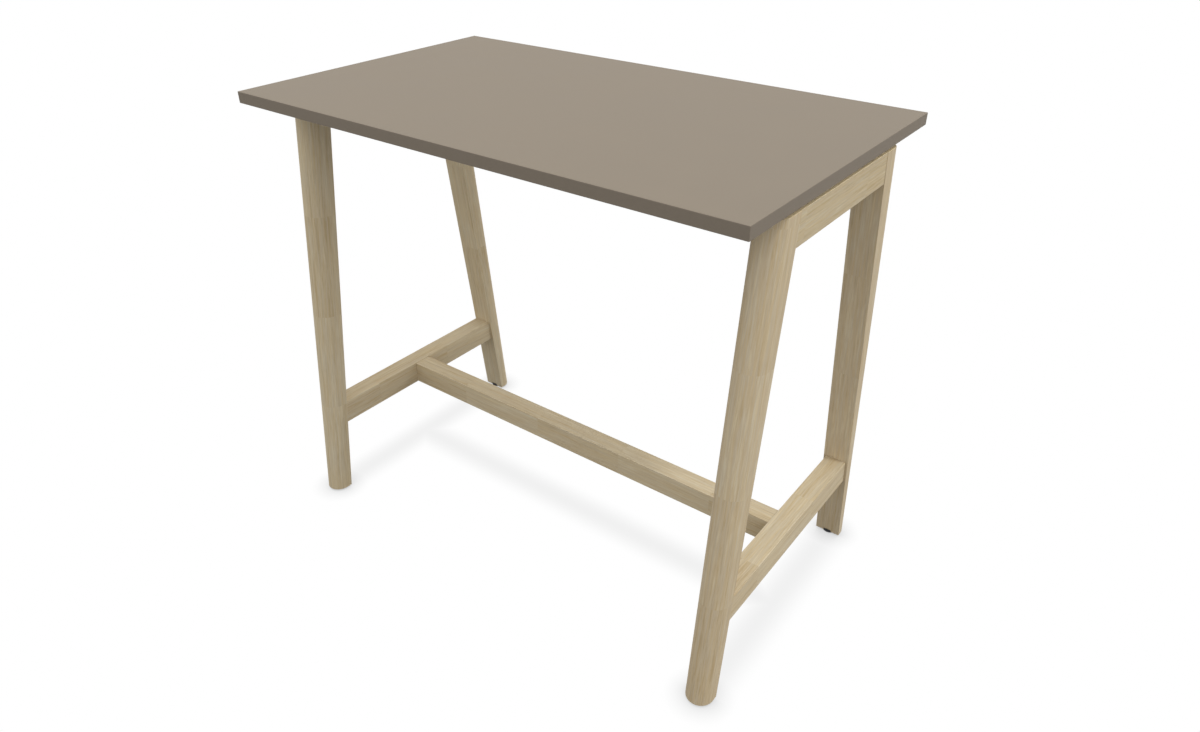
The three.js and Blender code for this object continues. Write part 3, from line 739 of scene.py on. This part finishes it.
SPACER_CHAMFER = 0.001
SPACER_GROOVE = 0.0015
SPACER_STEPS = 64
SCREW_RADIUS = 0.003
SCREW_HEAD_HEIGHT = 0.005
SCREW_SOCKET_RADIUS = 0.0029
SCREW_SOCKET_DEPTH = 0.003
SCREW_THREAD_LENGTH = 0.036
SCREW_PITCH = 0.0028
SCREW_DEPTH = 0.0008
SCREW_CHAMFER = 0.0006
SCREW_TIP = 0.005
SCREW_TIP_TAPER = 0.2
SCREW_STEPS = 48
HEXAGON = 6

BLACK_PLASTIC = mottled("black_moulded_plastic", colour(24, 24, 25), colour(33, 33, 34), roughness=0.5,
                        spread=0.12, specular=0.4, coarse=220.0, fine=3200.0, depth=0.0002, strength=0.35)


def stood(bm, low, high):
    """Stands a piece that was made about Z, up from the origin, in the box of its node."""
    bmesh.ops.translate(bm, verts=bm.verts, vec=((low.x + high.x) / 2, (low.y + high.y) / 2, low.z))
    return bm


def spacer(low, high):
    radius = (high.x - low.x) / 2
    height = high.z - low.z
    middle = height / 2
    outside = [(SCREW_HOLE_RADIUS, 0), (radius - SPACER_CHAMFER, 0), (radius, SPACER_CHAMFER),
               (radius, middle - SPACER_GROOVE / 2), (radius - SPACER_GROOVE / 2, middle),
               (radius, middle + SPACER_GROOVE / 2), (radius, height - SPACER_CHAMFER),
               (radius - SPACER_CHAMFER, height), (SCREW_HOLE_RADIUS, height), (SCREW_HOLE_RADIUS, 0)]
    return stood(turned(outside, SPACER_STEPS), low, high)


def board_screw(low, high):
    radius = (high.x - low.x) / 2
    length = high.z - low.z
    thread_start = length - SCREW_THREAD_LENGTH
    profile = [(radius - SCREW_CHAMFER, 0), (radius, SCREW_CHAMFER),
               (radius, SCREW_HEAD_HEIGHT - SCREW_CHAMFER), (radius - SCREW_CHAMFER, SCREW_HEAD_HEIGHT),
               (SCREW_RADIUS, SCREW_HEAD_HEIGHT), (SCREW_RADIUS, thread_start)]
    bm = turned(profile, SCREW_STEPS)
    shank = top_ring(bm)
    socket = ring(bm, (0, 0, 0), SCREW_SOCKET_RADIUS, (0, 0, 1), HEXAGON)
    drilled(bm, Vector((0, 0, -1)), [(socket, SCREW_SOCKET_DEPTH)])
    rim = threaded(bm, shank, SCREW_RADIUS - SCREW_DEPTH, SCREW_RADIUS, SCREW_PITCH, thread_start,
                   length - SCREW_TIP)
    closed(bm, drawn_on(bm, rim, (0, 0, SCREW_TIP), SCREW_TIP_TAPER))
    return stood(bm, low, high)


for place, side in CORNERS:
    name = f"spacer_{place}_{side}"
    finished(name, spacer(*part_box(name)), BLACK_PLASTIC, "root")
    name = f"board_screw_{place}_{side}"
    finished(name, board_screw(*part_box(name)), ZINC, "root")


# Board
# A particle-board core faced on both sides with matt taupe laminate. Blind holes in its underside take
# the four screws.

HAIRLINE = 0.00012

TAUPE = mottled("taupe_laminate", colour(143, 132, 117), colour(145, 134, 119), roughness=0.6, spread=0.06,
                specular=0.12, coarse=9.0, fine=1500.0, depth=0.00012, strength=0.2)


def board_core():
    low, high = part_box("tabletop_core")
    bm = bar(low, high)
    rounded(bm, list(bm.edges), HAIRLINE, 1)
    holes = []
    for place, side in CORNERS:
        screw_low, screw_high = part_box(f"board_screw_{place}_{side}")
        middle = (screw_low + screw_high) / 2
        rim = ring(bm, (middle.x, middle.y, low.z), SCREW_HOLE_RADIUS, (0, 0, 1))
        holes.append((rim, screw_high.z - low.z + DRILL_SPARE))
    drilled(bm, Vector((0, 0, -1)), holes)
    return bm


finished("tabletop_core", board_core(), TAUPE, "root")


# Edge bands
# Thick plastic bands glued to the four edges and machined round. Their side faces are painted a darker taupe
# than the laminate, as painted shade on the board's edges, and the faces that look up or down take the
# laminate's colour. The long bands run past the ends of the short ones.

BAND_ROUNDING = 0.0012
BAND_ROUND_STEPS = 5
UNSHADED_FACE_TILT = 35

# Painted shade: the darker taupe of the bands' side faces.
TAUPE_BAND_PAINTED_SHADE = mottled("taupe_edge_band", colour(128, 118, 105), colour(130, 120, 107), roughness=0.58,
                     spread=0.08, specular=0.12, coarse=60.0, fine=1900.0, depth=0.00015, strength=0.25)


def edge_band(name, board_low, board_high):
    """Slice of the whole rounded board, cut square where the band ends."""
    low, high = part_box(name)
    bm = bar(board_low, board_high)
    rounded(bm, list(bm.edges), BAND_ROUNDING, BAND_ROUND_STEPS)
    for axis in (0, 1):
        for corner, outward, limit in ((low, -1, board_low), (high, 1, board_high)):
            if abs(corner[axis] - limit[axis]) > HAIRLINE:
                normal = Vector((0, 0, 0))
                normal[axis] = outward
                everything = list(bm.verts) + list(bm.edges) + list(bm.faces)
                cut = bmesh.ops.bisect_plane(bm, geom=everything, plane_co=corner, plane_no=normal,
                                             clear_outer=True)
                closed(bm, [edge for edge in cut["geom_cut"] if isinstance(edge, bmesh.types.BMEdge)])
    return bm


band_names = [f"edge_band_{edge}" for edge in ("front", "back", "left", "right")]
band_boxes = [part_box(name) for name in band_names]
board_low = Vector([min(low[axis] for low, high in band_boxes) for axis in range(3)])
board_high = Vector([max(high[axis] for low, high in band_boxes) for axis in range(3)])
for name in band_names:
    mesh = finished(name, edge_band(name, board_low, board_high), TAUPE_BAND_PAINTED_SHADE, "root")
    mesh.materials.append(TAUPE)
    # Faces that look up or down take the laminate's colour; the others keep the painted shade.
    for face in mesh.polygons:
        face.material_index = int(abs(face.normal.z) > math.cos(math.radians(UNSHADED_FACE_TILT)))


# Levelling feet
# A zinc threaded insert is screwed into the end of each leg. A black moulded glide with a threaded stud
# turns in it, half inside the leg's recess, so that each foot is set to the floor by hand.

STUD_PITCH = 0.00125
STUD_DEPTH = 0.00068
STUD_TIP = 0.0008
STUD_TIP_TAPER = 0.8
STUD_CLEARANCE = 0.0003
STUD_STEPS = 48
INSERT_RIBS = 6
INSERT_RIB_START = 0.001
INSERT_RIB_PITCH = 0.0025
INSERT_RIB_FLANK = 0.0009
INSERT_RIB_CREST = 0.0003
INSERT_RIB_DEPTH = 0.0008
INSERT_CHAMFER = 0.0003
INSERT_BORE = 0.0043
INSERT_STEPS = 48
GLIDE_SOLE_RADIUS = 0.0135
GLIDE_SOLE_HEIGHT = 0.0032
GLIDE_CHAMFER = 0.0015
GLIDE_RIM = 0.0006
GLIDE_SOLE_RING = 0.009
GLIDE_SOLE_GROOVE = 0.0004
GLIDE_ARC_STEPS = 6
GLIDE_STEPS = 96


def arc(radius, height, size, start, end):
    """Points of a round corner in a turned profile, between two angles in degrees."""
    degrees = [start + (end - start) * number / GLIDE_ARC_STEPS for number in range(GLIDE_ARC_STEPS + 1)]
    turns = [math.radians(degree) for degree in degrees]
    return [(radius + size * math.cos(turn), height + size * math.sin(turn)) for turn in turns]


def stud(low, high):
    crest = (high.x - low.x) / 2
    thread_start = 2 * STUD_TIP
    thread_end = high.z - low.z - STUD_TIP
    bm = turned([(crest - STUD_DEPTH, 0), (crest, STUD_TIP), (crest, thread_start)], STUD_STEPS)
    rim = threaded(bm, top_ring(bm), crest - STUD_DEPTH, crest, STUD_PITCH, thread_start, thread_end)
    closed(bm, drawn_on(bm, rim, (0, 0, STUD_TIP), STUD_TIP_TAPER))
    return stood(bm, low, high)


def insert(low, high):
    flange = (high.x - low.x) / 2
    length = high.z - low.z
    root = INSERT_RADIUS - INSERT_RIB_DEPTH
    outside = [(INSERT_BORE, 0), (flange - INSERT_CHAMFER, 0), (flange, INSERT_CHAMFER),
               (flange, INSERT_FLANGE)]
    for number in range(INSERT_RIBS):
        foot = INSERT_FLANGE + INSERT_RIB_START + number * INSERT_RIB_PITCH
        crest = foot + INSERT_RIB_FLANK
        outside += [(root, foot), (INSERT_RADIUS, crest), (INSERT_RADIUS, crest + INSERT_RIB_CREST),
                    (root, crest + INSERT_RIB_CREST + INSERT_RIB_FLANK)]
    outside += [(root, length), (INSERT_BORE, length), (INSERT_BORE, 0)]
    return stood(turned(outside, INSERT_STEPS), low, high)


def glide(low, high, socket, socket_floor):
    radius = (high.x - low.x) / 2
    height = high.z - low.z
    outside = [(GLIDE_SOLE_RING, GLIDE_SOLE_GROOVE), (GLIDE_SOLE_RING + GLIDE_SOLE_GROOVE, 0)]
    outside += arc(GLIDE_SOLE_RADIUS - GLIDE_CHAMFER, GLIDE_CHAMFER, GLIDE_CHAMFER, -90, 0)
    outside += [(GLIDE_SOLE_RADIUS, GLIDE_SOLE_HEIGHT)]
    outside += arc(radius - GLIDE_RIM, GLIDE_SOLE_HEIGHT + GLIDE_RIM, GLIDE_RIM, -90, 0)
    outside += arc(radius - GLIDE_RIM, height - GLIDE_RIM, GLIDE_RIM, 0, 90)
    outside += [(socket, height), (socket, socket_floor)]
    return stood(turned(outside, GLIDE_STEPS), low, high)


for place, side in CORNERS:
    corner = f"{place}_{side}"
    stud_low, stud_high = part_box(f"foot_stud_{corner}")
    glide_low, glide_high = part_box(f"foot_glide_{corner}")
    socket = (stud_high.x - stud_low.x) / 2 + STUD_CLEARANCE
    socket_floor = stud_low.z - glide_low.z - STUD_CLEARANCE
    insert_low, insert_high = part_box(f"foot_insert_{corner}")
    finished(f"foot_insert_{corner}", insert(insert_low, insert_high), ZINC, "root")
    finished(f"foot_stud_{corner}", stud(stud_low, stud_high), ZINC, f"stud_{corner}")
    finished(f"foot_glide_{corner}", glide(glide_low, glide_high, socket, socket_floor), BLACK_PLASTIC,
             f"glide_{corner}")


# Floor and studio
# A plain white floor that the table stands on, seen only where it is darkened: round the feet by the table's
# occlusion, and under the bars by a painted shadow worked out from where the bars stand. A pale dome lights
# the table from all round, and one broad lamp from above on the right.

FLOOR_HALF = 12.0
FLOOR_GREY = 0.2
FOOT_SHADOW_REACH = 0.05
FOOT_SHADOW = 0.5
BAR_SHADOW_REACH = 0.072
BAR_SHADOW = 0.12
BELT_LIGHT = 1.17
BELT_TOP = 0.55
ZENITH_LIGHT = 0.6
ZENITH_FOOT = 0.95
RIGHT_LIGHT = 0.03
BACK_LIGHT = 0.18
KEY_ORIGIN = (0.48, 0.03, 1.0)
KEY_LIGHT = 0.7
KEY_WIDTH = 9


def seen_directly(tree):
    """1 where the camera, a reflection or a look through glass meets a surface, and 0 for other light."""
    path = add(tree, "LightPath").outputs
    direct = worked(tree, "MAXIMUM", path["Is Camera Ray"], path["Is Glossy Ray"])
    return worked(tree, "MAXIMUM", direct, path["Is Transmission Ray"])


def faded(tree, distance, full, reach):
    """1 up to a full distance, and smoothly down to 0 by a reach."""
    return worked(tree, "SUBTRACT", 1.0, step(tree, distance, full, reach))


def studio_floor_white():
    """White where it is seen, darkened round the feet by the table's occlusion and under the bars by a
    painted shadow, and grey for other light.
    """
    material = bpy.data.materials.new("studio_floor_white")
    material.use_nodes = True
    tree = material.node_tree
    tree.nodes.clear()
    spot = add(tree, "SeparateXYZ", {0: add(tree, "TexCoord").outputs["Object"]}).outputs
    across_x = worked(tree, "ABSOLUTE", spot[0])
    across_y = worked(tree, "ABSOLUTE", spot[1])
    # Painted shadow under the rails and the stretcher, worked out from where they stand rather than cast by
    # a lamp.
    low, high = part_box("lower_rail_right")
    rail_x = (low.x + high.x) / 2
    from_rail = worked(tree, "ABSOLUTE", worked(tree, "SUBTRACT", across_x, rail_x))
    rail_end = faded(tree, across_y, high.y - BAR_SHADOW_REACH / 2, high.y + BAR_SHADOW_REACH)
    under_rails = worked(tree, "MULTIPLY", faded(tree, from_rail, 0.0, BAR_SHADOW_REACH), rail_end)
    stretcher_end = faded(tree, across_x, rail_x, high.x)
    under_stretcher = worked(tree, "MULTIPLY", faded(tree, across_y, 0.0, BAR_SHADOW_REACH), stretcher_end)
    bars = worked(tree, "MULTIPLY", worked(tree, "MAXIMUM", under_rails, under_stretcher), BAR_SHADOW)
    open_share = add(tree, "AmbientOcclusion", {"Distance": FOOT_SHADOW_REACH}, samples=16).outputs["AO"]
    feet = worked(tree, "MULTIPLY", worked(tree, "SUBTRACT", 1.0, open_share), FOOT_SHADOW)
    beside_feet = worked(tree, "SUBTRACT", 1.0, feet)
    openness = worked(tree, "MULTIPLY", beside_feet, worked(tree, "SUBTRACT", 1.0, bars))
    dark = add(tree, "Emission", {"Strength": 0.0}).outputs[0]
    clear = add(tree, "BsdfTransparent").outputs[0]
    shaded = add(tree, "MixShader", {0: openness, 1: dark, 2: clear}).outputs[0]
    bounced = add(tree, "BsdfDiffuse", {"Color": (FLOOR_GREY, FLOOR_GREY, FLOOR_GREY, 1)}).outputs[0]
    surface = add(tree, "MixShader", {0: seen_directly(tree), 1: bounced, 2: shaded}).outputs[0]
    add(tree, "OutputMaterial", {"Surface": surface})
    return material


def studio_dome():
    """White where it is seen, and otherwise a bright belt round the horizon under a dimmer zenith."""
    world = bpy.data.worlds.new("studio_dome")
    world.use_nodes = True
    tree = world.node_tree
    tree.nodes.clear()
    direction = add(tree, "SeparateXYZ", {0: add(tree, "TexCoord").outputs["Generated"]}).outputs
    climb = step(tree, direction[2], BELT_TOP, ZENITH_FOOT)
    light = worked(tree, "MULTIPLY_ADD", climb, ZENITH_LIGHT - BELT_LIGHT, BELT_LIGHT)
    light = worked(tree, "MULTIPLY_ADD", direction[0], RIGHT_LIGHT, light)
    light = worked(tree, "MULTIPLY_ADD", direction[1], BACK_LIGHT, light)
    strength = add(tree, "Mix", {0: seen_directly(tree), 2: light, 3: 1.0}, data_type="FLOAT").outputs[0]
    sky = add(tree, "Background", {"Color": (1, 1, 1, 1), "Strength": strength})
    add(tree, "OutputWorld", {"Surface": sky.outputs[0]})
    return world


floor_bm = bmesh.new()
bmesh.ops.create_grid(floor_bm, x_segments=1, y_segments=1, size=FLOOR_HALF)
floor_mesh = bpy.data.meshes.new("studio_floor")
floor_bm.to_mesh(floor_mesh)
floor_bm.free()
floor_mesh.materials.append(studio_floor_white())
floor = bpy.data.objects.new("studio_floor", floor_mesh)
bpy.context.scene.collection.objects.link(floor)

bpy.context.scene.world = studio_dome()

key_data = bpy.data.lights.new("key_lamp", "SUN")
key_data.energy = KEY_LIGHT
key_data.angle = math.radians(KEY_WIDTH)
key_lamp = bpy.data.objects.new("key_lamp", key_data)
key_lamp.rotation_euler = Vector(KEY_ORIGIN).to_track_quat("Z", "Y").to_euler()
bpy.context.scene.collection.objects.link(key_lamp)


# Camera
# Standing height, in front of the right-hand end of the table and looking down at its middle.

camera_data = bpy.data.cameras.new("camera")
camera_data.sensor_width = 36
camera_data.lens = 26.508
camera = bpy.data.objects.new("camera", camera_data)
camera.location = (1.11728, -1.38789, 1.5237)
camera.rotation_euler = (math.radians(58.4334), 0, math.radians(36.8871))
bpy.context.scene.collection.objects.link(camera)
bpy.context.scene.camera = camera
bpy.context.scene.view_settings.view_transform = "Standard"
